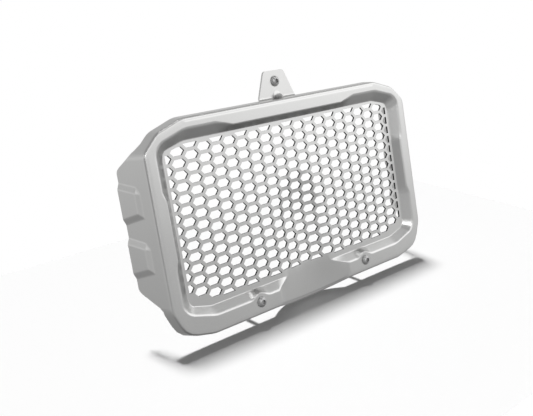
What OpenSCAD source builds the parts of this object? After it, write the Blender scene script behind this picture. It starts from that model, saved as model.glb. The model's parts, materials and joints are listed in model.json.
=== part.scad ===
// Pressed sheet guard for a motorcycle radiator: one sheet with a recessed honeycomb, two deep
// side wings with pressed ribs, a folded fixing tab, and three button head screws.
// X runs to the guard's right as seen from the front, Y to the rear and Z up.
// The origin is where the top screw's shank leaves the back of the tab.

/* [Sheet] */
// Thickness of the pressed sheet
sheet_t = 2; // [1.6:0.1:2.4]
// Height of the rim's face in front of the mesh
face_rise = 7.5; // [6:0.5:10]
// Depth of the skirt that is folded back all round, measured from the rim's face
skirt_depth = 13.5; // [12:0.5:18]
// Angle at which the skirt and its wings flare outwards, in degrees
skirt_draft = 6; // [4:0.5:9]

/* [Outline] */
// Width across the side walls
guard_w = 348.5; // [335:0.5:370]
// Height of the outer edge above the mesh centre
outer_top = 94; // [91:0.5:100]
// Depth of the outer edge below the mesh centre
outer_bottom = 100.5; // [98:0.5:106]
// Outer corner at the top: chamfer's start and end across, then its end and the side's start down
outer_corner = [45, 16.5, 9, 24.5]; // [5:0.5:50]
// Outer corner at the bottom, in the same order
outer_low_corner = [42, 11, 7, 31.5]; // [5:0.5:50]
// Length that each bend of an outer corner takes along its two lines
outer_bend = 4.5; // [4:0.5:7]
// Length that the middle bend of a lower outer corner takes, which is rounder
low_mid_bend = 12; // [4.5:0.5:12.5]
// Radius of the rounded outer edge
edge_r = 2.6; // [2.2:0.1:3]
// Width of the narrow flat beside the rounded edge, which lies below the face
bead_flat = 0.7; // [0.5:0.1:1.2]
// Height of the face above that flat
bead_step = 0.9; // [0.5:0.1:1.2]
// Width of the slope from the flat up to the face
bead_slope = 1.3; // [1:0.1:2]

/* [Recess] */
// Rim's face beside the recess, from the outer edge in
side_face = 12; // [11:0.5:15]
// Rim's face above the recess, near the corners
top_face = 9.8; // [9:0.1:12]
// Rim's face below the recess, near the corners
bottom_face = 16.7; // [15:0.1:19]
// Width of the recess's sloping wall at the sides
side_wall = 11; // [9:0.5:12]
// Width of the sloping wall at the top, near the corners
top_wall = 10.5; // [9:0.5:12]
// Width of the sloping wall at the bottom
bottom_wall = 8.1; // [7:0.1:9]
// Corner of the recess on the face, in the order of the outer corner
face_corner = [34, 6.5, 8, 15.5]; // [3:0.5:45]
// Length that each bend of the recess's corner takes on the face
face_bend = 4.5; // [3:0.5:5]
// Corner of the mesh field, in the same order
mesh_corner = [23.5, 2.5, 5.5, 11.5]; // [2:0.5:30]
// Length that each bend of the mesh field's corner takes
mesh_bend = 3; // [2:0.5:3]
// How far the face steps in over the middle of each side
side_step = 3; // [2:0.5:4]
// Height above and below the mesh centre at which that step ends
side_step_z = 35; // [30:1:40]
// Length of the slopes at the ends of that step
side_step_run = 10; // [6:1:14]
// How far the face steps down over the middle of the top
top_step = 4.7; // [3:0.1:6]
// Where the top step ends, from the centre
top_step_x = 93; // [86:1:100]
// Length of the top step's slope
top_step_run = 20; // [14:1:26]

/* [Mesh] */
// Distance between neighbouring columns of holes
column_pitch = 15; // [14:0.25:17]
// Distance between the holes of one column
row_pitch = 10.5; // [10:0.25:12]
// Width of the web between two holes
web_w = 3.1; // [2.4:0.1:3.6]
// Flat edge of a cell, from web centre to web centre
cell_flat = 10.3; // [9.6:0.1:10.8]
// Plain margin between the holes and the foot of the recess's wall
hole_margin = 2.4; // [2:0.1:4]
// Plain margin along the mesh's lower edge
low_margin = 4.7; // [3:0.1:6]

/* [Dish] */
// Half width of the dish at the bottom centre, where it starts on the face
dish_half = 51; // [44:1:56]
// Depth of the dish below the mesh
dish_depth = 4.2; // [3:0.1:6]
// Depth of the dish below the mesh at the lower edge
lip_depth = 6.5; // [4:0.1:8]
// How much lower the outer edge hangs at the centre
lip_drop = 7; // [4:0.5:9]
// Fullness of the dish's section, where 2 is a parabola
dish_power = 2.2; // [2:0.1:3]
// Height at which the dish runs out in the mesh, above the mesh centre
dish_top = 23; // [15:1:35]
// Height at which the dish has its full depth
dish_full = -16; // [-30:1:0]

/* [Wings] */
// Depth of the side wings, measured from the rim's face
wing_depth = 41; // [32:1:48]
// Gap between a wing's straight rear edge and the bend of the upper corner
wing_top_gap = 7; // [3:0.5:10]
// Gap between a wing's straight rear edge and the bend of the lower corner
wing_low_gap = 13.5; // [10:0.5:18]
// Height over which a wing runs down to the skirt
wing_slope = 15; // [12:1:18]
// Half length of the rounded toe where a wing runs out in the upper corner
wing_toe = 7; // [5:0.5:9]
// Height of the middle between a wing's two ribs above the mesh centre
rib_mid_z = 4; // [2:0.5:5]
// Distance between the two pressed ribs of a wing
rib_pitch = 49; // [46:0.5:50]
// Height of a pressed rib above the wing
rib_rise = 2.3; // [1.5:0.1:3]
// Half height of a rib's crown at its front end
rib_front_half = 8; // [6:0.5:10]
// Half height of a rib's crown at the wing's rear edge
rib_rear_half = 13.5; // [11:0.5:14]
// Width of the flank between the wing and a rib's crown
rib_flank = 5; // [3:0.5:6]
// Distance from the rim's face to the front foot of a rib
rib_start = 14.5; // [13:0.5:18]

/* [Tab] */
// Height of the top fixing hole above the mesh centre
tab_hole_z = 111.6; // [108:0.2:116]
// Height of the tab above its fixing hole
tab_over = 10.6; // [9:0.2:13]
// Width of the tab at its top
tab_top_w = 26; // [24:1:32]
// Width of the tab at its fold
tab_foot_w = 47; // [42:1:52]
// Inner radius of the tab's fold
tab_bend_r = 2; // [1.5:0.1:3]
// Length that each bend of the tab's outline takes
tab_round = 3; // [2:0.5:5]
// Radius of the stiffening dart pressed across the fold
dart_r = 7; // [5:0.5:8]
// Height of the dart above the skirt
dart_h = 7.5; // [6:0.5:8]

/* [Screws] */
// Diameter of the screws' shanks
screw_d = 6; // [5:0.5:6]
// Clearance of the fixing holes round a shank
hole_clearance = 0.6; // [0.4:0.1:1]
// Diameter of a screw's button head
head_d = 10.5; // [9.5:0.1:11]
// Height of a button head
head_h = 3.3; // [2.8:0.1:3.6]
// Height of the straight side of a button head
head_side = 0.6; // [0.4:0.1:0.8]
// Width across the flats of the hexagon socket
socket_w = 4; // [3:0.5:4]
// Depth of the hexagon socket
socket_depth = 2; // [1.5:0.1:2.2]
// Length of the top screw under its head
top_screw_l = 16; // [12:1:25]
// Length of the lower screws under their heads
lower_screw_l = 30; // [25:1:40]
// Diameter of the thread's relief under a head, as long as the sheet is thick
neck_d = 4.9; // [4:0.1:4.9]
// Chamfer at the end of a shank
tip_chamfer = 0.8; // [0.5:0.1:1]
// Distance of the lower screws from the guard's centre
lower_screw_x = 75; // [68:0.5:80]
// Distance of the lower screws below the mesh centre
lower_screw_z = 88; // [87:0.5:90]
// Half width of the recess's relief over a lower screw
relief_half = 13; // [11:0.5:14]
// Height of that relief
relief_h = 4.6; // [3:0.1:5]

/* [Hidden] */
// Level of the rim's face, with the mesh's front at 0
face_y = -face_rise;
// Level at which the outer edge starts to round
edge_y = face_y + bead_step + edge_r;
// Rear edges of the skirt and of the wings
skirt_y = face_y + skirt_depth;
wing_y = face_y + wing_depth;
// Front of the tab, one fold radius behind the skirt
tab_y = skirt_y + tab_bend_r;
// Height of the skirt's rear edge at the top, where the tab is folded up
tab_foot_z = outer_top + (skirt_y - edge_y) * tan(skirt_draft);
// Half sizes of the three outlines
outer_x = guard_w / 2;
face_x = outer_x - side_face;
face_top = outer_top - top_face;
face_bottom = outer_bottom - bottom_face;
mesh_x = face_x - side_wall;
mesh_top = face_top - top_wall;
mesh_bottom = face_bottom - bottom_wall;
// Half width of the dish where it meets the mesh's lower edge
tip_x = dish_half * pow(dish_depth / (dish_depth + face_rise), 1 / dish_power);
// Width of the narrow strip that stands for the recess's wall inside the dish
strip_w = 1.5;
// Heights of the wings' two ribs
rib_z = [rib_mid_z - rib_pitch / 2, rib_mid_z + rib_pitch / 2];
// Shares of the wing's depth at which the rows of its surface lie
foot_share = (face_y + rib_start - edge_y) / (wing_y - edge_y);
crown_share = (face_y + rib_start + rib_flank - edge_y) / (wing_y - edge_y);
mid_share = (1 + crown_share) / 2;
// Half length of the rounded ends of a wing's rear edge
wing_round = 2.5;
// Heights of the two ends of a wing's straight rear edge
wing_top_z = outer_top - outer_corner[3] - outer_bend - wing_top_gap;
wing_low_z = -(outer_bottom - outer_low_corner[3] - outer_bend - wing_low_gap);
// Depth by which the fold's root is sunk in the skirt's sheet
tab_bury = 0.02;
// Steps in one bend of a corner, in the dish's half, in the rounded edge and in half a relief
bend_steps = 3;
dish_steps = 6;
edge_steps = 4;
relief_steps = 5;
// Steps from the dish's tip to its edge, along the plain ends of the recess's side, and in an arc
tip_steps = 3;
plain_steps = 3;
arc_steps = 6;
// Facets of the round pieces
round_fn = 48;

function clamp01(v) = max(0, min(1, v));
function smooth(v) = let (c = clamp01(v)) c * c * (3 - 2 * c);
function mix(a, b, s) = a + (b - a) * s;
function unit(v) = v / norm(v);

// Points of a bend at q, between the lines from p and to r
function bend(p, q, r, cut) = [
    for (i = [0:bend_steps])
        let (s = i / bend_steps, a = q + unit(p - q) * cut, b = q + unit(r - q) * cut)
            mix(mix(a, q, s), mix(q, b, s), s)
];
// Corner of an outline from its horizontal edge at height h to its side at w
function corner(w, h, c, cut, mid_cut) =
    let (a = [w - c[0], h], b = [w - c[1], h - c[2]], d = [w, h - c[3]])
        concat(
            bend(a - [1, 0], a, b, cut),
            bend(a, b, d, mid_cut),
            [(b + d) / 2],
            bend(b, d, d - [0, 1], cut)
        );
function reversed(v) = [for (i = [len(v) - 1:-1:0]) v[i]];
function lowered(v) = [for (p = v) [p[0], -p[1]]];

// Stations across the lower edge, from the centre to the corner
relief_end = lower_screw_x + relief_half;
bottom_x = concat(
    [for (i = [0:dish_steps]) tip_x * i / dish_steps],
    [for (i = [1:tip_steps]) mix(tip_x, dish_half, i / tip_steps)],
    [for (i = [-relief_steps:relief_steps]) lower_screw_x + relief_half * i / relief_steps],
    [mix(relief_end, outer_x - outer_low_corner[0], 0.5)]
);
// Stations up the side: the ends of the wing's rear edge round the feet, crowns and middles of the ribs
function rib_rows(half) = concat(
    [for (s = [-1, 0, 1]) wing_low_z + s * wing_round],
    [for (c = rib_z, s = [-half - rib_flank, -half, 0, half, half + rib_flank]) c + s],
    [for (s = [-1, 0, 1]) wing_top_z + s * wing_round]
);
side_front_z = rib_rows(rib_front_half);
side_rear_z = rib_rows(rib_rear_half);
side_crown = concat([0, 0, 0], [for (c = rib_z, s = [0, 1, 1, 1, 0]) s], [0, 0, 0]);
// Stations up the side of the recess: the same number, spaced by the face's step
recess_low_z = -(mesh_bottom - mesh_corner[3] - mesh_bend);
recess_top_z = mesh_top - mesh_corner[3] - mesh_bend;
step_z = concat(
    [for (s = [0.2, 0.6, 1]) s * (side_step_z - side_step_run)],
    [side_step_z - side_step_run / 2, side_step_z]
);
recess_z = concat(
    [for (k = [1:plain_steps]) mix(recess_low_z, -side_step_z, k / (plain_steps + 1))],
    -reversed(step_z),
    step_z,
    [for (k = [1:plain_steps]) mix(side_step_z, recess_top_z, k / (plain_steps + 1))]
);
// Stations across the top, from the corner to the centre
top_x = [
    mix(outer_x - outer_corner[0], top_step_x, 0.5),
    top_step_x,
    top_step_x - top_step_run / 2,
    top_step_x - top_step_run,
    top_step_x / 2,
    tab_foot_w / 2,
    0
];

corner_count = 3 * (bend_steps + 1) + 1;
first_side = len(bottom_x) + corner_count;
first_top = first_side + len(side_front_z) + corner_count;
half_count = first_top + len(top_x);
ring_count = 2 * half_count - 2;

// Depth share of the dish at x, from 1 at the centre to 0 at its edge
function dish_share(x) = 1 - pow(min(1, abs(x) / dish_half), dish_power);
// Level of the face, where depth is the dish's depth in that row
function face_level(x, depth) = mix(face_y, depth, dish_share(x));
// Level of the mesh
function mesh_level(x, z) =
    let (depth = dish_depth * clamp01((dish_top - z) / (dish_top - dish_full)))
        max(0, depth - (dish_depth + face_rise) * (1 - dish_share(x)));
// Lower edge of the recess on the face, with its relief over the screw
function face_low(x) =
    let (open = clamp01((abs(x) - tip_x) / (dish_half - tip_x)),
         relief = relief_h * smooth(1 - abs(abs(x) - lower_screw_x) / relief_half))
        -mix(mesh_bottom + strip_w, face_bottom - relief, open);
function face_high(x) =
    face_top - top_step * clamp01((top_step_x - abs(x)) / top_step_run);
// Side of the recess, which steps in over its middle
function face_side(z) = face_x - side_step * clamp01((side_step_z - abs(z)) / side_step_run);

outer_half = concat(
    [for (x = bottom_x) [x, -outer_bottom - lip_drop * dish_share(x)]],
    lowered(corner(outer_x, outer_bottom, outer_low_corner, outer_bend, low_mid_bend)),
    [for (z = side_front_z) [outer_x, z]],
    reversed(corner(outer_x, outer_top, outer_corner, outer_bend, outer_bend)),
    [for (x = top_x) [x, outer_top]]
);
face_half = concat(
    [for (x = bottom_x) [x, face_low(x)]],
    lowered(corner(face_x, face_bottom, face_corner, face_bend, face_bend)),
    [for (z = recess_z) [face_side(z), z]],
    reversed(corner(face_x, face_top, face_corner, face_bend, face_bend)),
    [for (x = top_x) [x, face_high(x)]]
);
mesh_half = concat(
    [for (x = bottom_x) [x, -mesh_bottom]],
    lowered(corner(mesh_x, mesh_bottom, mesh_corner, mesh_bend, mesh_bend)),
    [for (z = recess_z) [mesh_x, z]],
    reversed(corner(mesh_x, mesh_top, mesh_corner, mesh_bend, mesh_bend)),
    [for (x = top_x) [x, mesh_top]]
);
last = half_count - 1;
// Outward direction of the outer edge at each station
outer_normal = [
    for (i = [0:last])
        let (a = outer_half[max(0, i - 1)], b = outer_half[min(last, i + 1)], d = unit(b - a))
            i == 0 || i == last ? [0, i == 0 ? -1 : 1] : [d[1], -d[0]]
];

// Share of the way along a rib at which a skirt row lies
function rib_share(share) = clamp01((share - foot_share) / (1 - foot_share));
// Outer edge at a station, with the rib rows spread towards the rear
function skirt_place(i, share) =
    i >= first_side && i < first_side + len(side_front_z)
        ? [outer_x, mix(side_front_z[i - first_side], side_rear_z[i - first_side], rib_share(share))]
        : outer_half[i];
// A ramp that starts at 0 with a bend rounded over a half length of r
function ramp(v, r) = v < -r ? 0 : v < r ? pow(v + r, 2) / (4 * r) : v;
// Rear edge of the skirt or wing at a station
function rear_level(i) =
    let (p = outer_half[i],
         past = max(p[1] - wing_top_z, wing_low_z - p[1]),
         toe = p[1] > 0 ? wing_toe : wing_round,
         drop = (ramp(past, wing_round) - ramp(past - wing_slope, toe)) / wing_slope,
         dished = face_level(p[0], lip_depth) - face_y)
        i < len(bottom_x) ? skirt_y + dished : i < first_top ? mix(wing_y, skirt_y, drop) : skirt_y;
function rise(i, share) =
    i >= first_side && i < first_side + len(side_front_z) && share >= crown_share
        ? rib_rise * side_crown[i - first_side] : 0;
function low_level(i) = i < len(bottom_x) ? face_level(outer_half[i][0], lip_depth) : face_y;
// One point of the skirt, share of the way back and inset from the outer surface
function skirt_point(i, share, inset) =
    let (p = skirt_place(i, share), n = outer_normal[i],
         start = low_level(i) + edge_y - face_y,
         y = mix(start, rear_level(i), share),
         out = rise(i, share) + (y - start) * tan(skirt_draft) - inset)
        [p[0] + n[0] * out, y, p[1] + n[1] * out];
// One point of the rounded edge and its step, inset from the outer edge and back from the face
function edge_point(i, inset, back) =
    let (p = outer_half[i], n = outer_normal[i])
        [p[0] - n[0] * inset, low_level(i) + back, p[1] - n[1] * inset];
// One point of the recess's wall: share across, share of its height, then the offset of the back
function wall_point(i, share, drop, out, back) =
    let (f = face_half[i], m = mesh_half[i], p = mix(f, m, share), d = unit(f - m),
         face = i < len(bottom_x) ? face_level(f[0], dish_depth) : face_y,
         open = clamp01((norm(f - m) - strip_w) / strip_w),
         depth = mix(face, mesh_level(m[0], m[1]), drop))
        [p[0] + d[0] * out * open, depth + back, p[1] + d[1] * out * open];

bead_in = edge_r + bead_flat;
step_in = bead_in + bead_slope;
skirt_shares = [1, mid_share, crown_share, foot_share, 0];
// Rows of the recess's wall: share across, share of its height, slope of the surface
wall_rows = [[-0.16, 0, 6], [0, 0.04, 22], [0.16, 0.17, 36], [0.88, 0.93, 37], [0.945, 0.985, 23]];
front_rows = concat(
    [for (s = skirt_shares) [for (i = [0:last]) skirt_point(i, s, 0)]],
    [for (k = [1:edge_steps]) let (a = 90 * k / edge_steps)
        [for (i = [0:last]) edge_point(i, edge_r * (1 - cos(a)), bead_step + edge_r * (1 - sin(a)))]],
    [[for (i = [0:last]) edge_point(i, bead_in, bead_step)]],
    [[for (i = [0:last]) edge_point(i, step_in, 0)]],
    [for (w = wall_rows) [for (i = [0:last]) wall_point(i, w[0], w[1], 0, 0)]],
    [[for (i = [0:last]) wall_point(i, 1, 1, 0, 0)]]
);
back_rows = concat(
    [for (s = skirt_shares) [for (i = [0:last]) skirt_point(i, s, sheet_t)]],
    [[for (i = [0:last]) edge_point(i, bead_in, bead_step + sheet_t)]],
    [[for (i = [0:last]) edge_point(i, step_in + sheet_t / 4, sheet_t)]],
    [for (w = wall_rows)
        [for (i = [0:last]) wall_point(i, w[0], w[1], sheet_t * sin(w[2]), sheet_t * cos(w[2]))]],
    [[for (i = [0:last]) wall_point(i, 1, 1, 0, sheet_t)]]
);

// A row of the right half becomes a full ring, counted from the bottom centre
function full_ring(row) = concat(row, [for (i = [last - 1:-1:1]) [-row[i][0], row[i][1], row[i][2]]]);
function at(ring, i) = ring * ring_count + (i + ring_count) % ring_count;
// Two triangles for each cell between neighbouring rings
function ring_faces(first, count) = [
    for (r = [first:first + count - 2], i = [0:ring_count - 1], s = [0, 1])
        s == 0 ? [at(r, i), at(r + 1, i), at(r + 1, i + 1)] : [at(r, i), at(r + 1, i + 1), at(r, i + 1)]
];
function flipped(faces) = [for (f = faces) reversed(f)];

// Rows of the dish in the mesh, above the mesh's lower edge
dish_rows = 9;
function dish_row_z(r) = mix(-mesh_bottom, dish_top, r / dish_rows);
function dish_points(back) = [
    for (r = [1:dish_rows], c = [-dish_steps:dish_steps])
        let (x = tip_x * c / dish_steps, z = dish_row_z(r)) [x, mesh_level(x, z) + back, z]
];
// Index of a dish point: the lowest row is the innermost ring itself
function dish_at(ring, first, r, c) =
    r == 0 ? at(ring, c) : first + (r - 1) * (2 * dish_steps + 1) + c + dish_steps;
function dish_faces(ring, first) = [
    for (r = [0:dish_rows - 1], c = [-dish_steps:dish_steps - 1], s = [0, 1])
        s == 0
            ? [dish_at(ring, first, r, c), dish_at(ring, first, r + 1, c), dish_at(ring, first, r + 1, c + 1)]
            : [dish_at(ring, first, r, c), dish_at(ring, first, r + 1, c + 1), dish_at(ring, first, r, c + 1)]
];
// Triangles of the flat mesh beside and above the dish, on one side of the centre
function flat_side(ring, first, side) =
    let (next = side * (dish_steps + 1), edge = side * dish_steps)
        concat(
            [for (r = [0:dish_rows - 1])
                [at(ring, next), dish_at(ring, first, r, edge), dish_at(ring, first, r + 1, edge)]],
            [for (i = [dish_steps + 1:last - 1])
                [dish_at(ring, first, dish_rows, edge), at(ring, side * (i + 1)), at(ring, side * i)]],
            [for (c = [0:dish_steps - 1])
                [at(ring, last),
                 dish_at(ring, first, dish_rows, side * (c + 1)),
                 dish_at(ring, first, dish_rows, side * c)]]
        );
function flat_faces(ring, first) =
    concat(flat_side(ring, first, 1), flipped(flat_side(ring, first, -1)));

module pressed_shell() {
    front_n = len(front_rows);
    back_n = len(back_rows);
    ring_points = [for (row = concat(front_rows, back_rows), p = full_ring(row)) p];
    front_dish = len(ring_points);
    back_dish = front_dish + dish_rows * (2 * dish_steps + 1);
    front = concat(
        ring_faces(0, front_n),
        dish_faces(front_n - 1, front_dish),
        flat_faces(front_n - 1, front_dish)
    );
    back = concat(
        ring_faces(front_n, back_n),
        dish_faces(front_n + back_n - 1, back_dish),
        flat_faces(front_n + back_n - 1, back_dish)
    );
    rear_edge = [
        for (i = [0:ring_count - 1], s = [0, 1])
            s == 0
                ? [at(0, i), at(0, i + 1), at(front_n, i + 1)]
                : [at(0, i), at(front_n, i + 1), at(front_n, i)]
    ];
    polyhedron(
        points = concat(ring_points, dish_points(0), dish_points(sheet_t)),
        faces = concat(front, flipped(back), rear_edge)
    );
}

// Area that the holes may cover: the mesh field less its margins
hole_limits = [
    [[1, 0], mesh_x - hole_margin],
    [[0, 1], mesh_top - hole_margin],
    [[0, -1], mesh_bottom - low_margin],
    corner_limit(mesh_top, hole_margin, 1),
    corner_limit(mesh_bottom, low_margin, -1)
];
// Line along the chamfer of the mesh field's corner, less its margin
function corner_limit(h, margin, up) =
    let (a = [mesh_x - mesh_corner[0], h], b = [mesh_x - mesh_corner[1], h - mesh_corner[2]],
         d = unit(b - a), n = [-d[1], d[0] * up])
        [n, n * [a[0], a[1] * up] - margin];
// The part of a convex outline on the near side of one line
function cut_by(points, limit) = [
    for (i = [0:len(points) - 1])
        let (p = points[i], q = points[(i + 1) % len(points)],
             a = limit[0] * p - limit[1], b = limit[0] * q - limit[1])
            each concat(a <= 0 ? [p] : [], a * b < 0 ? [mix(p, q, a / (a - b))] : [])
];
function cut_all(points, i = 0) =
    i == len(hole_limits) || len(points) < 3 ? points : cut_all(cut_by(points, hole_limits[i]), i + 1);
function area(points) = len(points) < 3 ? 0 : abs([
    for (i = [0:len(points) - 1])
        let (p = points[i], q = points[(i + 1) % len(points)]) p[0] * q[1] - p[1] * q[0]
] * [for (p = points) 0.5]);

// A cell's outline less half a web all round
hole_half_h = (row_pitch - web_w) / 2;
cell_slant = column_pitch - cell_flat;
slant_slope = row_pitch / 2 / cell_slant;
slant_inset = web_w / 2 * sqrt(1 + 1 / (slant_slope * slant_slope));
hole_half_w = column_pitch - cell_flat / 2 - slant_inset;
hole_flat_half = hole_half_w - hole_half_h / slant_slope;
hole = [
    [hole_half_w, 0], [hole_flat_half, hole_half_h], [-hole_flat_half, hole_half_h],
    [-hole_half_w, 0], [-hole_flat_half, -hole_half_h], [hole_flat_half, -hole_half_h]
];
columns = floor(mesh_x / column_pitch);
rows = ceil(mesh_bottom / row_pitch);
// Smallest share of a hole that is still cut at the edge of the field
least_share = 0.35;

module honeycomb() {
    cut_depth = 3 * sheet_t + dish_depth;
    for (column = [0:columns], row = [-rows:rows]) {
        z = (row + (column % 2 == 0 ? -0.25 : 0.25)) * row_pitch;
        points = cut_all([for (p = hole) p + [column * column_pitch, z]]);
        if (area(points) > least_share * area(hole))
            for (side = column == 0 ? [1] : [-1, 1])
                translate([0, cut_depth - sheet_t, 0])
                    rotate([90, 0, 0])
                        linear_extrude(cut_depth)
                            polygon([for (p = points) [p[0] * side, p[1]]]);
    }
}

// Points of an arc in a section, counter-clockwise from one angle to another
function arc(centre, r, from, to) = [
    for (i = [0:arc_steps]) let (a = mix(from, to, i / arc_steps)) centre + r * [cos(a), sin(a)]
];

// The tab's sheet seen from the front, above its fold
module tab_face() {
    foot = tab_foot_z + tab_bend_r;
    top = tab_hole_z + tab_over;
    left = [[-tab_foot_w / 2, foot], [-tab_top_w / 2, top], [0, top]];
    round_left = bend(left[0], left[1], left[2], tab_round);
    outline = concat(
        [left[0]], round_left,
        [for (p = reversed(round_left)) [-p[0], p[1]]], [[-left[0][0], left[0][1]]]
    );
    translate([0, tab_y + sheet_t, 0])
        rotate([90, 0, 0])
            linear_extrude(sheet_t)
                polygon(outline);
}

// The fold between the skirt and the tab, a quarter turn of the sheet
module tab_fold() {
    centre = [skirt_y, tab_foot_z + tab_bend_r];
    root = 2 * sheet_t;
    root_drop = root * tan(skirt_draft) + tab_bury;
    section = concat(
        [[skirt_y - root, tab_foot_z - sheet_t - root_drop + 2 * tab_bury]],
        arc(centre, tab_bend_r + sheet_t, -90, 0),
        arc(centre, tab_bend_r, 0, -90),
        [[skirt_y - root, tab_foot_z - root_drop]]
    );
    translate([-tab_foot_w / 2, 0, 0])
        rotate([90, 0, 90])
            linear_extrude(tab_foot_w)
                polygon(section);
}

// A round bar at 45 degrees from the tab down to the skirt, kept between two heights about the fold
module dart_bar(r, rear, low) {
    reach = dart_h + dart_r;
    intersection() {
        translate([0, tab_y, tab_foot_z + dart_h - dart_r * sqrt(2)])
            rotate([-45, 0, 0])
                translate([0, 0, -2 * reach])
                    cylinder(h = 4 * reach, r = r, $fn = round_fn);
        translate([-dart_r, tab_y - reach, tab_foot_z - low])
            cube([2 * dart_r, reach + rear, dart_h + low]);
    }
}

module fixing_hole(x, z) {
    translate([x, tab_y + 2 * sheet_t, z])
        rotate([90, 0, 0])
            cylinder(h = tab_y - face_y + 4 * sheet_t, d = screw_d + hole_clearance, $fn = round_fn);
}

module guard_panel() {
    color("lightgray")
        difference() {
            union() {
                pressed_shell();
                tab_face();
                tab_fold();
                dart_bar(dart_r, sheet_t / 2, sheet_t);
            }
            honeycomb();
            dart_bar(dart_r - sheet_t, 2 * sheet_t, 3 * sheet_t);
            fixing_hole(0, tab_hole_z);
            for (side = [-1, 1])
                fixing_hole(side * lower_screw_x, -lower_screw_z);
        }
}

// Button head screw along Y, with the underside of its head at the given place
module button_screw(place, length) {
    dome_h = head_h - head_side;
    crown_r = (head_d * head_d / 4 + dome_h * dome_h) / (2 * dome_h);
    tip_d = screw_d - 2 * tip_chamfer;
    color("dimgray")
        translate(place)
            rotate([-90, 0, 0])
                difference() {
                    union() {
                        rotate_extrude($fn = round_fn)
                            polygon(concat(
                                [[0, 0], [head_d / 2, 0]],
                                [for (i = [0:arc_steps])
                                    let (x = mix(head_d / 2, 0, i / arc_steps))
                                        [x, -head_side - sqrt(crown_r * crown_r - x * x) + crown_r - dome_h]]
                            ));
                        cylinder(h = sheet_t, d = neck_d, $fn = round_fn);
                        translate([0, 0, sheet_t])
                            cylinder(h = length - sheet_t - tip_chamfer, d = screw_d, $fn = round_fn);
                        translate([0, 0, length - tip_chamfer])
                            cylinder(h = tip_chamfer, d1 = screw_d, d2 = tip_d, $fn = round_fn);
                    }
                    translate([0, 0, -head_h - 1])
                        cylinder(h = socket_depth + 1, r = socket_w / sqrt(3), $fn = 6);
                }
}

module top_screw() {
    button_screw([0, tab_y, tab_hole_z], top_screw_l);
}

module lower_left_screw() {
    button_screw([-lower_screw_x, face_y, -lower_screw_z], lower_screw_l);
}

module lower_right_screw() {
    button_screw([lower_screw_x, face_y, -lower_screw_z], lower_screw_l);
}

module in_frame() {
    translate([0, -tab_y - sheet_t, -tab_hole_z])
        children();
}

in_frame() guard_panel();
in_frame() top_screw();
in_frame() lower_left_screw();
in_frame() lower_right_screw();
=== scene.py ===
"""Dresses the pressed radiator guard and sets it on a pale studio floor, as in the photograph."""

import json
import logging
import math
from dataclasses import dataclass
from enum import Enum

import bmesh
import bpy
from mathutils import Matrix, Vector


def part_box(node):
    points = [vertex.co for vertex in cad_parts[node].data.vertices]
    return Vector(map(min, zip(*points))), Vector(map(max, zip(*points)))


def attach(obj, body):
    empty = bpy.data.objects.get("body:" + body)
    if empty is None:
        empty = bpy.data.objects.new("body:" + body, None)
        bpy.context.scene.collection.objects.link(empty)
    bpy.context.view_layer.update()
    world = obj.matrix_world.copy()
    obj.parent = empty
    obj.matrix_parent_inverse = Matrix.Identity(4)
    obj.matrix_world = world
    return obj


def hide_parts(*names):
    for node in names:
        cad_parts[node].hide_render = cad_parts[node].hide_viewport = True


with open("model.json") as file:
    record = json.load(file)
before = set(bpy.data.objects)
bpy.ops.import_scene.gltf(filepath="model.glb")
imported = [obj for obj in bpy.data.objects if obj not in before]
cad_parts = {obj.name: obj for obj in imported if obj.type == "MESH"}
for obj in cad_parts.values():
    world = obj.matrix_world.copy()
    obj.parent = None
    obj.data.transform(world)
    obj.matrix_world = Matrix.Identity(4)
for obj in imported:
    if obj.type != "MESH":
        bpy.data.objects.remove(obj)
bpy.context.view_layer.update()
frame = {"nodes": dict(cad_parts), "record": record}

LOG = logging.getLogger("guard")
MM = 0.001
# The guard leans back on the floor by this angle, so the floor is tilted in the guard's own frame
LEAN = math.radians(13.45)
FLOOR_UP = Vector((0.0, -math.sin(LEAN), math.cos(LEAN)))
# The way that the guard's front looks
FORWARD = Vector((0.0, -1.0, 0.0))
# Height of the mesh field's centre in the frame
CENTRE_Z = -111.6 * MM
ORIGIN = (0.0, 0.0, 0.0)
# The line of a screw, from its crown to its tip
SCREW_AXIS = (0.0, 1.0, 0.0)
FULL_TURN = 2.0 * math.pi


class Slot(Enum):
    """The record's material slots."""

    SHEET = "sheet"
    SCREW = "screw_steel"


class ScrewPlace(Enum):
    """The three places where the guard is screwed on."""

    TOP = "top"
    LOWER_LEFT = "lower_left"
    LOWER_RIGHT = "lower_right"


class Ray(Enum):
    """The outputs of a Light Path node that the studio tells apart."""

    CAMERA = "Is Camera Ray"
    TRANSMISSION = "Is Transmission Ray"
    GLOSSY = "Is Glossy Ray"


class Sum(Enum):
    """What a Math node does with its terms."""

    ADD = "ADD"
    SUBTRACT = "SUBTRACT"
    MULTIPLY = "MULTIPLY"
    MULTIPLY_ADD = "MULTIPLY_ADD"
    MAXIMUM = "MAXIMUM"


class MixSocket(Enum):
    """A Mix node's sockets for colours, which share their names with those for numbers."""

    FACTOR = 0
    BELOW = 6
    ABOVE = 7
    RESULT = 2


def grey(level: float) -> tuple[float, float, float, float]:
    """A plain grey, with 1 as white."""
    return (level, level, level, 1.0)


def feed(
    tree: bpy.types.NodeTree,
    entry: bpy.types.NodeSocket,
    value: bpy.types.NodeSocket | float | tuple[float, ...],
) -> None:
    """Links a socket to a node's entry, or sets a plain value there.

    Args:
        tree: The nodes that both belong to.
        entry: The entry of the node.
        value: A socket to link, or a number or colour to set.
    """
    if isinstance(value, bpy.types.NodeSocket):
        tree.links.new(value, entry)
    else:
        entry.default_value = value


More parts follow.
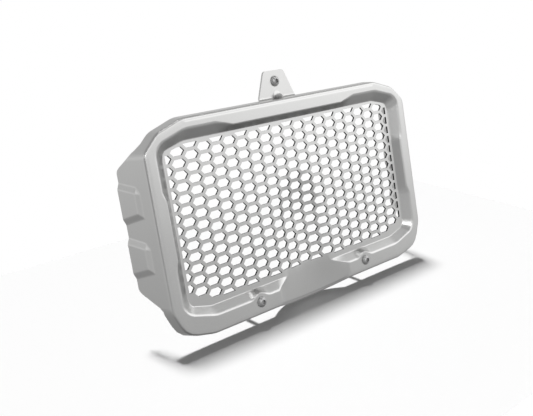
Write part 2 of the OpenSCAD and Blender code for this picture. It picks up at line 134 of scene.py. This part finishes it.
def worked_out(
    tree: bpy.types.NodeTree, kind: Sum, *terms: bpy.types.NodeSocket | float
) -> bpy.types.NodeSocket:
    """Works out one number from others in a Math node.

    Args:
        tree: The nodes that it joins.
        kind: What is done with the terms.
        terms: Sockets or plain numbers, in the node's order.

    Returns:
        The result's socket.
    """
    node = tree.nodes.new("ShaderNodeMath")
    node.operation = kind.value
    for entry, term in zip(node.inputs, terms):
        feed(tree, entry, term)
    return node.outputs[0]


def either(
    tree: bpy.types.NodeTree,
    choice: bpy.types.NodeSocket,
    plain: bpy.types.NodeSocket,
    chosen: bpy.types.NodeSocket,
) -> bpy.types.NodeSocket:
    """Switches from one shader to another.

    Args:
        tree: The nodes that it joins.
        choice: The number that switches, from 0 to 1.
        plain: The shader at 0.
        chosen: The shader at 1.

    Returns:
        The shader's socket.
    """
    mix = tree.nodes.new("ShaderNodeMixShader")
    for entry, socket in zip(mix.inputs, (choice, plain, chosen)):
        tree.links.new(socket, entry)
    return mix.outputs[0]


@dataclass(frozen=True)
class GrainGroup:
    """Shader node group of a fine grained metal surface, shared by all finishes."""

    name: str = "metal_grain"
    grain_detail: float = 2.0
    cloud_detail: float = 3.0
    # What a noise gives on average
    noise_middle: float = 0.5

    def build(self) -> bpy.types.NodeTree:
        """Builds the group once.

        Returns:
            The group, which puts out a tone, a roughness and a height.
        """
        if self.name in bpy.data.node_groups:
            return bpy.data.node_groups[self.name]
        group = bpy.data.node_groups.new(self.name, "ShaderNodeTree")
        self.add_sockets(group)
        add, link = group.nodes.new, group.links.new
        source, out = add("NodeGroupInput"), add("NodeGroupOutput")
        place = add("ShaderNodeTexCoord")
        waves = []
        shares = []
        for label, detail in (("Grain", self.grain_detail), ("Cloud", self.cloud_detail)):
            noise = add("ShaderNodeTexNoise")
            noise.inputs["Detail"].default_value = detail
            link(place.outputs["Object"], noise.inputs["Vector"])
            link(source.outputs[label + " Size"], noise.inputs["Scale"])
            swing = worked_out(group, Sum.SUBTRACT, noise.outputs["Fac"], self.noise_middle)
            waves.append(noise.outputs["Fac"])
            shares.append(worked_out(group, Sum.MULTIPLY, swing, source.outputs[label + " Depth"]))
        factor = worked_out(group, Sum.ADD, worked_out(group, Sum.ADD, *shares), 1.0)
        tint = add("ShaderNodeVectorMath")
        tint.operation = "SCALE"
        link(source.outputs["Tone"], tint.inputs[0])
        link(factor, tint.inputs["Scale"])
        link(tint.outputs["Vector"], out.inputs["Tone"])
        rough = worked_out(group, Sum.MULTIPLY, source.outputs["Roughness"], factor)
        link(rough, out.inputs["Roughness"])
        link(waves[0], out.inputs["Height"])
        return group

    @staticmethod
    def add_sockets(group: bpy.types.NodeTree) -> None:
        """Gives the group its named inputs and outputs.

        Args:
            group: The group, still empty.
        """
        face = group.interface
        for label, kind, value in (
            ("Tone", "NodeSocketColor", grey(0.6)),
            ("Roughness", "NodeSocketFloat", 0.3),
            ("Grain Size", "NodeSocketFloat", 1000.0),
            ("Grain Depth", "NodeSocketFloat", 0.1),
            ("Cloud Size", "NodeSocketFloat", 20.0),
            ("Cloud Depth", "NodeSocketFloat", 0.05),
        ):
            socket = face.new_socket(label, in_out="INPUT", socket_type=kind)
            socket.default_value = value
        face.new_socket("Tone", in_out="OUTPUT", socket_type="NodeSocketColor")
        face.new_socket("Roughness", in_out="OUTPUT", socket_type="NodeSocketFloat")
        face.new_socket("Height", in_out="OUTPUT", socket_type="NodeSocketFloat")


@dataclass(frozen=True)
class MetalFinish:
    """A grained metal surface with its own tone, gloss and grain."""

    name: str
    tone: float
    roughness: float
    grain_size: float
    grain_depth: float
    # Share of blue in the tone, which makes it a little warm
    blue_share: float = 0.99
    cloud_size: float = 18.0
    cloud_depth: float = 0.06
    bump: float = 0.15
    bump_height: float = 0.03 * MM

    def material(self) -> bpy.types.Material:
        """Builds the material once.

        Returns:
            The material, with a Principled shader fed by the grain group.
        """
        if self.name in bpy.data.materials:
            return bpy.data.materials[self.name]
        material = bpy.data.materials.new(self.name)
        material.use_nodes = True
        add, link = material.node_tree.nodes.new, material.node_tree.links.new
        shader = material.node_tree.nodes["Principled BSDF"]
        shader.inputs["Metallic"].default_value = 1.0
        grain = add("ShaderNodeGroup")
        grain.node_tree = GrainGroup().build()
        for label, value in (
            ("Tone", (self.tone, self.tone, self.tone * self.blue_share, 1.0)),
            ("Roughness", self.roughness),
            ("Grain Size", self.grain_size),
            ("Grain Depth", self.grain_depth),
            ("Cloud Size", self.cloud_size),
            ("Cloud Depth", self.cloud_depth),
        ):
            grain.inputs[label].default_value = value
        bump = add("ShaderNodeBump")
        bump.inputs["Strength"].default_value = self.bump
        bump.inputs["Distance"].default_value = self.bump_height
        link(grain.outputs["Tone"], shader.inputs["Base Color"])
        link(grain.outputs["Roughness"], shader.inputs["Roughness"])
        link(grain.outputs["Height"], bump.inputs["Height"])
        link(bump.outputs["Normal"], shader.inputs["Normal"])
        return material


SATIN_SHEET = MetalFinish(
    "satin_sheet", tone=0.62, roughness=0.31, grain_size=1400.0, grain_depth=0.12
)
# Painted shade: the punched walls of the holes get a nearly black tone that stands in for the
# shade inside the holes
HOLE_WALL_SHADE = MetalFinish(
    "hole_wall_painted_shade", tone=0.015, roughness=0.5, grain_size=1800.0, grain_depth=0.2
)
SCREW_STEEL = MetalFinish(
    "screw_steel", tone=0.15, roughness=0.1, grain_size=1500.0, grain_depth=0.1
)


def keep(piece: bpy.types.Object, slot: Slot, *nodes: str) -> None:
    """Lets a finished piece ride on the guard and stand for its solids.

    Args:
        piece: The finished object.
        slot: The record's material slot; not used.
        nodes: The names of the solids that it replaces.
    """
    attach(piece, "root")
    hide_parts(*nodes)


def object_from(form: bmesh.types.BMesh, name: str) -> bpy.types.Object:
    """Makes an object of a finished bmesh, and frees it.

    Args:
        form: The finished shape, in the frame.
        name: The object's name.

    Returns:
        The object, linked to the scene.
    """
    mesh = bpy.data.meshes.new(name)
    form.to_mesh(mesh)
    form.free()
    piece = bpy.data.objects.new(name, mesh)
    bpy.context.scene.collection.objects.link(piece)
    return piece


def points_of(items: list[object]) -> list[bmesh.types.BMVert]:
    """The points among what an operator gives back."""
    return [item for item in items if isinstance(item, bmesh.types.BMVert)]


def edges_of(items: list[object]) -> list[bmesh.types.BMEdge]:
    """The edges among what an operator gives back."""
    return [item for item in items if isinstance(item, bmesh.types.BMEdge)]


@dataclass
class GuardPanel:
    """The pressed sheet: the solid's own surface with its edges eased and its faces dressed."""

    node: str = "guard_panel"
    merge: float = 0.002 * MM
    # Faces that meet flatter than this become one
    flat_angle: float = math.radians(0.4)
    # Edges that fold more than this stay sharp
    edge_angle: float = math.radians(38.0)
    even_weight: int = 60
    crease_round: float = 1.0 * MM
    crease_steps: int = 3
    crease_low: float = math.radians(9.0)
    crease_high: float = math.radians(60.0)
    wing_x: float = 168.0 * MM
    wing_front: float = -10.0 * MM
    hole_edge: float = 0.06 * MM
    hole_steps: int = 1
    # A hole's wall faces to the front or rear by less than this share
    wall_slope: float = 0.25
    field_x: float = 151.0 * MM
    field_top: float = 74.0 * MM
    field_low: float = 76.0 * MM

    def build(self) -> bpy.types.Object:
        """Merges a copy of the solid's mesh, rounds the wings' folds and eases the holes' edges.

        Returns:
            The finished panel, with the holes' walls in a nearly black material that paints the
            shade in the holes.
        """
        form = bmesh.new()
        form.from_mesh(frame["nodes"][self.node].data)
        bmesh.ops.remove_doubles(form, verts=form.verts, dist=self.merge)
        bmesh.ops.dissolve_limit(
            form, angle_limit=self.flat_angle, verts=form.verts, edges=form.edges
        )
        creases = [edge for edge in form.edges if self.is_crease(edge)]
        bmesh.ops.bevel(
            form, geom=creases, offset=self.crease_round, affect="EDGES",
            segments=self.crease_steps, profile=0.5, material=-1, clamp_overlap=True,
        )
        rims = [edge for edge in form.edges if self.is_hole_edge(edge)]
        bmesh.ops.bevel(
            form, geom=rims, offset=self.hole_edge, affect="EDGES",
            segments=self.hole_steps, profile=0.5, material=-1,
        )
        for face in form.faces:
            face.smooth = True
            # Hole walls take the second material, a nearly black painted shade
            face.material_index = int(self.is_hole_wall(face))
        panel = object_from(form, "pressed_sheet")
        self.dress(panel)
        return panel

    def is_crease(self, edge: bmesh.types.BMEdge) -> bool:
        """Tells whether an edge is a fold of a wing, between its flat and a rib's flank.

        Args:
            edge: The edge.

        Returns:
            True for such a fold.
        """
        middle = (edge.verts[0].co + edge.verts[1].co) / 2.0
        on_wing = abs(middle.x) >= self.wing_x and middle.y >= self.wing_front
        if not on_wing or len(edge.link_faces) != 2:
            return False
        return self.crease_low < edge.calc_face_angle(0.0) < self.crease_high

    def in_field(self, point: Vector) -> bool:
        """Whether a point lies within the mesh field."""
        height = point.z - CENTRE_Z
        return abs(point.x) < self.field_x and -self.field_low < height < self.field_top

    def is_hole_wall(self, face: bmesh.types.BMFace) -> bool:
        """Whether a face is the punched wall of a hole in the mesh."""
        return abs(face.normal.y) < self.wall_slope and self.in_field(face.calc_center_median())

    def is_hole_edge(self, edge: bmesh.types.BMEdge) -> bool:
        """Whether an edge is the rim of a hole in the mesh."""
        walls = [self.is_hole_wall(face) for face in edge.link_faces]
        return len(walls) == 2 and walls[0] != walls[1]

    def dress(self, panel: bpy.types.Object) -> None:
        """Gives the panel its satin finish, the painted shade of the holes' walls, and smooth
        shading between its folds.

        Args:
            panel: The panel's object.
        """
        panel.data.materials.append(SATIN_SHEET.material())
        # The second material is the painted shade of the holes' walls
        panel.data.materials.append(HOLE_WALL_SHADE.material())
        panel.data.set_sharp_from_angle(angle=self.edge_angle)
        even = panel.modifiers.new("even_shading", "WEIGHTED_NORMAL")
        even.keep_sharp = True
        even.weight = self.even_weight
        keep(panel, Slot.SHEET, self.node)


@dataclass
class ButtonScrew:
    """A button head screw with a hexagon socket and a cut thread, in the place of its solid."""

    place: ScrewPlace
    head_r: float = 5.25 * MM
    head_h: float = 3.3 * MM
    head_side: float = 0.6 * MM
    rim_round: float = 0.25 * MM
    socket_corners: int = 6
    socket_r: float = 4.0 * MM / math.sqrt(3.0)
    socket_rim: float = 0.3 * MM
    socket_depth: float = 1.9 * MM
    drill_depth: float = 0.5 * MM
    neck_r: float = 2.4 * MM
    neck_l: float = 2.0 * MM
    crest_r: float = 3.0 * MM
    root_r: float = 2.55 * MM
    pitch: float = 1.0 * MM
    # Shares of the pitch that a flank and the crest take
    flank_share: float = 0.4
    crest_share: float = 0.12
    # The thread is wound from this many turns before its start, and this many turns longer
    early_turns: float = 1.5
    spare_turns: int = 2
    tip_chamfer: float = 0.8 * MM
    turn_steps: int = 24
    head_steps: int = 48
    dome_steps: int = 8
    merge: float = 0.004 * MM
    cut_merge: float = 0.001 * MM
    edge_angle: float = math.radians(32.0)

    def build(self) -> bpy.types.Object:
        """Spins the head and the thread, and joins them in one piece.

        Returns:
            The finished screw.
        """
        node = self.place.value + "_screw"
        mount = self.place.value + "_fixing"
        shank_starts = {m["name"]: Vector(m["pos_m"]) for m in frame["record"]["mounts"]}
        crown = shank_starts[mount]
        crown.y -= self.neck_l + self.head_h
        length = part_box(node)[1][1] - crown.y
        form = bmesh.new()
        self.add_head(form)
        self.add_socket(form)
        self.add_thread(form, self.head_h + self.neck_l, length)
        bmesh.ops.recalc_face_normals(form, faces=form.faces)
        bmesh.ops.translate(form, vec=crown, verts=form.verts)
        for face in form.faces:
            face.smooth = True
        screw = object_from(form, node + "_finished")
        screw.data.materials.append(SCREW_STEEL.material())
        screw.data.set_sharp_from_angle(angle=self.edge_angle)
        keep(screw, Slot.SCREW, node)
        return screw

    def dome(self) -> float:
        """Radius of the domed crown."""
        height = self.head_h - self.head_side
        return (self.head_r**2 + height**2) / (2.0 * height)

    def add_head(self, form: bmesh.types.BMesh) -> None:
        """Spins the dome, the head's straight side, its underside and the neck.

        Args:
            form: The bmesh that it joins, with the screw's axis along Y and the crown at 0.
        """
        dome = self.dome()
        first = math.asin((self.socket_r + self.socket_rim) / dome)
        start = form.verts.new((dome * math.sin(first), dome * (1.0 - math.cos(first)), 0.0))
        arc = bmesh.ops.spin(
            form, geom=[start], cent=(0.0, dome, 0.0), axis=(0.0, 0.0, 1.0),
            angle=math.asin(self.head_r / dome) - first, steps=self.dome_steps,
        )
        last = points_of(arc["geom_last"])[0]
        for step in (
            (0.0, self.head_side - self.rim_round, 0.0),
            (-self.rim_round, self.rim_round, 0.0),
            (self.neck_r + self.rim_round - self.head_r, 0.0, 0.0),
            (0.0, self.neck_l, 0.0),
            (-self.neck_r, 0.0, 0.0),
        ):
            last = bmesh.ops.extrude_vert_indiv(form, verts=[last])["verts"][0]
            last.co += Vector(step)
        bmesh.ops.spin(
            form, geom=form.verts[:] + form.edges[:], cent=ORIGIN, axis=SCREW_AXIS,
            angle=FULL_TURN, steps=self.head_steps, use_merge=True,
        )
        bmesh.ops.remove_doubles(form, verts=form.verts, dist=self.merge)

    def is_dome_rim(self, edge: bmesh.types.BMEdge) -> bool:
        """Tells whether an edge is on the open rim of the dome, round the socket.

        Args:
            edge: The edge.

        Returns:
            True on that rim.
        """
        reach = self.socket_r + 2.0 * self.socket_rim
        near = all(math.hypot(v.co.x, v.co.z) < reach for v in edge.verts)
        in_front = all(v.co.y < self.head_h for v in edge.verts)
        return edge.is_boundary and near and in_front

    def add_socket(self, form: bmesh.types.BMesh) -> None:
        """Bridges the dome to a hexagon, and sinks it to the drilled floor of the socket.

        Args:
            form: The bmesh with the head.
        """
        rim = [edge for edge in form.edges if self.is_dome_rim(edge)]
        bmesh.ops.create_circle(form, segments=self.socket_corners, radius=self.socket_r)
        sides = [edge for edge in form.edges if edge.is_wire]
        cuts = self.head_steps // self.socket_corners - 1
        bmesh.ops.subdivide_edges(form, edges=sides, cuts=cuts)
        hexagon = [edge for edge in form.edges if edge.is_wire]
        corners = list({vert for edge in hexagon for vert in edge.verts})
        dome = self.dome()
        depth = dome - math.sqrt(dome**2 - self.socket_r**2)
        turn = Matrix.Rotation(math.pi / 2.0, 3, "X")
        bmesh.ops.rotate(form, cent=ORIGIN, matrix=turn, verts=corners)
        bmesh.ops.translate(form, vec=(0.0, depth, 0.0), verts=corners)
        bmesh.ops.bridge_loops(form, edges=rim + hexagon)
        sunk = bmesh.ops.extrude_edge_only(form, edges=hexagon)["geom"]
        bmesh.ops.translate(form, vec=(0.0, self.socket_depth, 0.0), verts=points_of(sunk))
        bottom = [edge for edge in edges_of(sunk) if edge.is_boundary]
        floor = bmesh.ops.contextual_create(form, geom=bottom)["faces"]
        middle = bmesh.ops.poke(form, faces=floor)["verts"]
        bmesh.ops.translate(form, vec=(0.0, self.drill_depth, 0.0), verts=middle)

    def add_thread(self, form: bmesh.types.BMesh, start: float, end: float) -> None:
        """Winds the thread round the shank, and cuts it square at the neck and at the tip.

        Args:
            form: The bmesh that it joins.
            start: Where the thread starts, from the crown.
            end: Where the shank ends.
        """
        thread = self.wound_thread(start, end)
        self.cut_square(thread, start, -1.0)
        cap = self.cut_square(thread, end - self.tip_chamfer, 1.0)
        self.add_tip(thread, cap)
        bmesh.ops.recalc_face_normals(thread, faces=thread.faces)
        mesh = bpy.data.meshes.new("thread")
        thread.to_mesh(mesh)
        thread.free()
        form.from_mesh(mesh)
        bpy.data.meshes.remove(mesh)

    def wound_thread(self, start: float, end: float) -> bmesh.types.BMesh:
        """Winds one pitch of the thread's section round the axis.

        Args:
            start: Where the thread starts, from the crown.
            end: Where the shank ends.

        Returns:
            The thread, with more than a turn to spare at both ends.
        """
        thread = bmesh.new()
        turns = math.ceil((end - start) / self.pitch) + self.spare_turns
        crest_end = self.flank_share + self.crest_share
        section = (
            (self.root_r, 0.0),
            (self.crest_r, self.flank_share),
            (self.crest_r, crest_end),
            (self.root_r, crest_end + self.flank_share),
            (self.root_r, 1.0),
        )
        lowest = start - self.early_turns * self.pitch
        chain = [thread.verts.new((r, lowest + y * self.pitch, 0.0)) for r, y in section]
        for a, b in zip(chain, chain[1:]):
            thread.edges.new((a, b))
        bmesh.ops.spin(
            thread, geom=thread.verts[:] + thread.edges[:], cent=ORIGIN, axis=SCREW_AXIS,
            dvec=(0.0, self.pitch / self.turn_steps, 0.0),
            angle=FULL_TURN * turns, steps=self.turn_steps * turns,
        )
        bmesh.ops.remove_doubles(thread, verts=thread.verts, dist=self.merge)
        return thread

    def cut_square(
        self, thread: bmesh.types.BMesh, place: float, away: float
    ) -> list[bmesh.types.BMFace]:
        """Cuts the thread square across and closes it.

        Args:
            thread: The thread.
            place: Where it is cut, from the crown.
            away: 1 to take off what lies beyond the cut, -1 for what lies before it.

        Returns:
            The faces that close it.
        """
        cut = bmesh.ops.bisect_plane(
            thread, geom=thread.verts[:] + thread.edges[:] + thread.faces[:],
            dist=self.cut_merge, plane_co=(0.0, place, 0.0), plane_no=(0.0, away, 0.0),
            clear_outer=True,
        )["geom_cut"]
        return bmesh.ops.contextual_create(thread, geom=edges_of(cut))["faces"]

    def add_tip(self, thread: bmesh.types.BMesh, cap: list[bmesh.types.BMFace]) -> None:
        """Grows the chamfered tip from the end of the thread.

        Args:
            thread: The thread.
            cap: The faces that close its end.
        """
        tip = bmesh.ops.extrude_face_region(thread, geom=cap)["geom"]
        bmesh.ops.delete(thread, geom=cap, context="FACES_ONLY")
        points = points_of(tip)
        bmesh.ops.translate(thread, vec=(0.0, self.tip_chamfer, 0.0), verts=points)
        share = (self.crest_r - self.tip_chamfer) / self.crest_r
        bmesh.ops.scale(thread, vec=(share, 1.0, share), verts=points)


@dataclass(frozen=True)
class Card:
    """A round soft patch of the studio that metal mirrors, with its place and size in degrees."""

    azimuth: float
    elevation: float
    outer: float
    inner: float
    level: float

    def towards(self) -> Vector:
        """Finds the direction of the card's middle.

        Returns:
            The direction, with azimuth 0 in front of the guard and 90 at its right.
        """
        turn = math.radians(self.azimuth)
        rise = math.radians(self.elevation)
        ahead = Vector((0.0, -math.cos(LEAN), -math.sin(LEAN)))
        flat = Vector((math.sin(turn), 0.0, 0.0)) + ahead * math.cos(turn)
        return flat * math.cos(rise) + FLOOR_UP * math.sin(rise)


# A dim card at the camera's side, a bright one at the right, and two small lamps
CARDS = (
    Card(azimuth=-48.0, elevation=15.0, outer=36.0, inner=14.0, level=0.4),
    Card(azimuth=58.0, elevation=24.0, outer=34.0, inner=6.0, level=1.65),
    Card(azimuth=-15.0, elevation=31.0, outer=7.0, inner=5.0, level=7.0),
    Card(azimuth=72.0, elevation=72.0, outer=5.0, inner=4.0, level=7.0),
)
# Strongest light that a ramp can give
RAMP_TOP = 3.0
# Light of the studio by degrees above the floor, in front of the guard and behind it
FRONT_LEVELS = (
    (-90.0, 0.1), (-55.0, 0.22), (-38.0, 0.33), (-24.0, 0.5), (-13.0, 0.7), (-5.0, 0.44),
    (-1.0, 0.42), (2.0, 0.54), (5.0, 0.72), (8.0, 0.9), (12.0, 1.05), (20.0, 1.15),
    (25.0, 1.5), (33.0, 1.5), (40.0, 0.5), (90.0, 0.38),
)
REAR_LEVELS = (
    (-90.0, 0.25), (-50.0, 0.38), (-24.0, 0.48), (-13.0, 0.76), (0.0, 0.86), (16.0, 0.65),
    (60.0, 0.5), (90.0, 0.4),
)


@dataclass
class Studio:
    """The pale floor, the soft light round the guard and the photograph's camera."""

    camera_place: tuple[float, float, float] = (-0.54754, -0.58678, 0.00232)
    camera_target: tuple[float, float, float] = (-0.02738, 0.00834, -0.12112)
    image_width: int = 533
    focal_px: float = 813.16
    sensor_mm: float = 36.0
    half_pixel: float = 0.5
    floor_half_x: float = 0.42
    floor_front: float = 0.30
    floor_back: float = 0.22
    floor_tone: float = 0.93
    small_strength: float = 0.35
    small_angle: float = math.radians(1.2)
    small_tilt: float = 0.0
    broad_strength: float = 2.55
    broad_angle: float = math.radians(9.0)
    broad_tilt: float = math.radians(-4.0)
    # Light that surfaces which don't mirror get from all round
    plain_level: float = 0.17
    # Half the width of the blend from the studio's front to its rear
    side_blend: float = 0.25

    def build(self, panel: bpy.types.Object) -> None:
        """Sets the camera, the floor, the lamps and the world.

        Args:
            panel: The guard's panel, which stands on the floor.
        """
        self.add_camera()
        self.add_floor(min(FLOOR_UP.dot(v.co) for v in panel.data.vertices))
        self.add_lamps()
        self.light_world()

    def add_camera(self) -> None:
        """Places the camera of the photograph."""
        place, target = Vector(self.camera_place), Vector(self.camera_target)
        view = (target - place).normalized()
        right = view.cross(FLOOR_UP).normalized()
        up = right.cross(view)
        data = bpy.data.cameras.new("photo_camera")
        data.sensor_width = self.sensor_mm
        data.lens = self.sensor_mm * self.focal_px / self.image_width
        data.shift_x = -self.half_pixel / self.image_width
        data.shift_y = self.half_pixel / self.image_width
        camera = bpy.data.objects.new("photo_camera", data)
        turn = Matrix((right, up, -view)).transposed()
        camera.matrix_world = Matrix.Translation(place) @ turn.to_4x4()
        bpy.context.scene.collection.objects.link(camera)
        bpy.context.scene.camera = camera

    def add_floor(self, height: float) -> None:
        """Lays the floor under the guard.

        Args:
            height: The guard's lowest place along the floor's upward direction.
        """
        form = bmesh.new()
        bmesh.ops.create_grid(form, x_segments=1, y_segments=1, size=1.0)
        half_y = (self.floor_front + self.floor_back) / 2.0
        shift_y = (self.floor_back - self.floor_front) / 2.0
        bmesh.ops.scale(form, vec=(self.floor_half_x, half_y, 1.0), verts=form.verts)
        bmesh.ops.translate(form, vec=(0.0, shift_y, 0.0), verts=form.verts)
        turn = Vector((0.0, 0.0, 1.0)).rotation_difference(FLOOR_UP).to_matrix()
        bmesh.ops.rotate(form, cent=ORIGIN, matrix=turn, verts=form.verts)
        bmesh.ops.translate(form, vec=FLOOR_UP * height, verts=form.verts)
        floor = object_from(form, "studio_floor")
        floor.data.materials.append(self.floor_material())

    def floor_material(self) -> bpy.types.Material:
        """Builds the floor's plain white, which reflections and its underside leave out.

        Returns:
            The floor's material.
        """
        material = bpy.data.materials.new("studio_floor")
        material.use_nodes = True
        tree = material.node_tree
        tree.nodes.remove(tree.nodes["Principled BSDF"])
        white = tree.nodes.new("ShaderNodeBsdfDiffuse")
        white.inputs["Color"].default_value = grey(self.floor_tone)
        clear = tree.nodes.new("ShaderNodeBsdfTransparent")
        mirrored = tree.nodes.new("ShaderNodeLightPath").outputs[Ray.GLOSSY.value]
        underside = tree.nodes.new("ShaderNodeNewGeometry").outputs["Backfacing"]
        left_out = worked_out(tree, Sum.MAXIMUM, mirrored, underside)
        surface = either(tree, left_out, white.outputs[0], clear.outputs[0])
        tree.links.new(surface, tree.nodes["Material Output"].inputs["Surface"])
        return material

    def add_lamps(self) -> None:
        """Hangs a small lamp overhead, for a crisp shadow, and a broad one that leaves it soft."""
        for name, strength, angle, tilt in (
            ("overhead_lamp", self.small_strength, self.small_angle, self.small_tilt),
            ("fill_lamp", self.broad_strength, self.broad_angle, self.broad_tilt),
        ):
            data = bpy.data.lights.new(name, "SUN")
            data.energy = strength
            data.angle = angle
            lamp = bpy.data.objects.new(name, data)
            lamp.rotation_euler = (tilt, 0.0, 0.0)
            lamp.visible_glossy = False
            bpy.context.scene.collection.objects.link(lamp)

    def light_world(self) -> None:
        """Sets a white background, plain grey light, and the studio that metal mirrors."""
        world = bpy.data.worlds.new("studio_world")
        bpy.context.scene.world = world
        world.use_nodes = True
        tree = world.node_tree
        plain = tree.nodes["Background"]
        plain.inputs["Color"].default_value = grey(1.0)
        plain.inputs["Strength"].default_value = self.plain_level
        white = tree.nodes.new("ShaderNodeBackground")
        white.inputs["Color"].default_value = grey(1.0)
        mirrored = tree.nodes.new("ShaderNodeBackground")
        mirrored.inputs["Strength"].default_value = RAMP_TOP
        tree.links.new(self.studio_light(tree), mirrored.inputs["Color"])
        rays = tree.nodes.new("ShaderNodeLightPath").outputs
        seen = worked_out(
            tree, Sum.MAXIMUM, rays[Ray.CAMERA.value], rays[Ray.TRANSMISSION.value]
        )
        light = either(tree, rays[Ray.GLOSSY.value], plain.outputs[0], mirrored.outputs[0])
        surface = either(tree, seen, light, white.outputs[0])
        tree.links.new(surface, tree.nodes["World Output"].inputs["Surface"])

    def studio_light(self, tree: bpy.types.NodeTree) -> bpy.types.NodeSocket:
        """Makes the light that metal mirrors: two graded halves with the cards over them.

        Args:
            tree: The world's nodes.

        Returns:
            The colour's socket, in shares of RAMP_TOP.
        """
        direction = tree.nodes.new("ShaderNodeTexCoord").outputs["Generated"]
        rise = self.along(tree, direction, FLOOR_UP)
        share = worked_out(tree, Sum.MULTIPLY_ADD, rise, 0.5, 0.5)
        front = self.ramp(tree, FRONT_LEVELS, share)
        rear = self.ramp(tree, REAR_LEVELS, share)
        ahead = self.along(tree, direction, FORWARD)
        side = self.soft_step(tree, ahead, -self.side_blend, self.side_blend)
        light = self.laid_over(tree, rear, front, side)
        for card in CARDS:
            nearness = self.along(tree, direction, card.towards())
            outer = math.cos(math.radians(card.outer))
            inner = math.cos(math.radians(card.inner))
            mask = self.soft_step(tree, nearness, outer, inner)
            light = self.laid_over(tree, light, grey(card.level / RAMP_TOP), mask)
        return light

    @staticmethod
    def along(
        tree: bpy.types.NodeTree, direction: bpy.types.NodeSocket, way: Vector
    ) -> bpy.types.NodeSocket:
        """Measures how far a direction points one way.

        Args:
            tree: The world's nodes.
            direction: The direction's socket.
            way: The way, one unit long.

        Returns:
            The socket of the cosine between the two.
        """
        dot = tree.nodes.new("ShaderNodeVectorMath")
        dot.operation = "DOT_PRODUCT"
        dot.inputs[1].default_value = way
        tree.links.new(direction, dot.inputs[0])
        return dot.outputs["Value"]

    @staticmethod
    def soft_step(
        tree: bpy.types.NodeTree, value: bpy.types.NodeSocket, low: float, high: float
    ) -> bpy.types.NodeSocket:
        """Turns a value into a mask that rises softly from 0 to 1.

        Args:
            tree: The world's nodes.
            value: The value's socket.
            low: The value where the mask leaves 0.
            high: The value where it reaches 1.

        Returns:
            The mask's socket.
        """
        soft = tree.nodes.new("ShaderNodeMapRange")
        soft.interpolation_type = "SMOOTHSTEP"
        soft.inputs["From Min"].default_value = low
        soft.inputs["From Max"].default_value = high
        tree.links.new(value, soft.inputs["Value"])
        return soft.outputs["Result"]

    @staticmethod
    def laid_over(
        tree: bpy.types.NodeTree,
        below: bpy.types.NodeSocket,
        above: bpy.types.NodeSocket | tuple[float, ...],
        mask: bpy.types.NodeSocket,
    ) -> bpy.types.NodeSocket:
        """Lays one colour over another where a mask is set.

        Args:
            tree: The world's nodes.
            below: The colour below.
            above: The colour laid over, as a socket or plain.
            mask: The mask's socket.

        Returns:
            The new colour's socket.
        """
        mix = tree.nodes.new("ShaderNodeMix")
        mix.data_type = "RGBA"
        feed(tree, mix.inputs[MixSocket.FACTOR.value], mask)
        feed(tree, mix.inputs[MixSocket.BELOW.value], below)
        feed(tree, mix.inputs[MixSocket.ABOVE.value], above)
        return mix.outputs[MixSocket.RESULT.value]

    @staticmethod
    def ramp(
        tree: bpy.types.NodeTree,
        levels: tuple[tuple[float, float], ...],
        share: bpy.types.NodeSocket,
    ) -> bpy.types.NodeSocket:
        """Makes a ramp of light over height above the floor.

        Args:
            tree: The world's nodes.
            levels: Pairs of an elevation in degrees and a strength of up to RAMP_TOP.
            share: The socket of half of one plus the sine of the elevation.

        Returns:
            The ramp's colour, in shares of RAMP_TOP.
        """
        node = tree.nodes.new("ShaderNodeValToRGB")
        elements = node.color_ramp.elements
        # New elements start halfway, and get their places below
        halfway = 0.5
        while len(elements) < len(levels):
            elements.new(halfway)
        for element, (degrees, level) in zip(elements, levels):
            element.position = (1.0 + math.sin(math.radians(degrees))) / 2.0
            element.color = grey(level / RAMP_TOP)
        tree.links.new(share, node.inputs["Fac"])
        return node.outputs["Color"]


def report(piece: bpy.types.Object) -> None:
    """Logs a finished piece with its number of faces."""
    LOG.info("%s: %d faces", piece.name, len(piece.data.polygons))


def main() -> None:
    """Builds the guard's pieces and the studio in order."""
    logging.basicConfig(level=logging.INFO, format="%(name)s: %(message)s")
    panel = GuardPanel().build()
    report(panel)
    for place in ScrewPlace:
        report(ButtonScrew(place).build())
    Studio().build(panel)
    bpy.context.scene.view_settings.view_transform = "Standard"


if __name__ == "__main__":
    main()
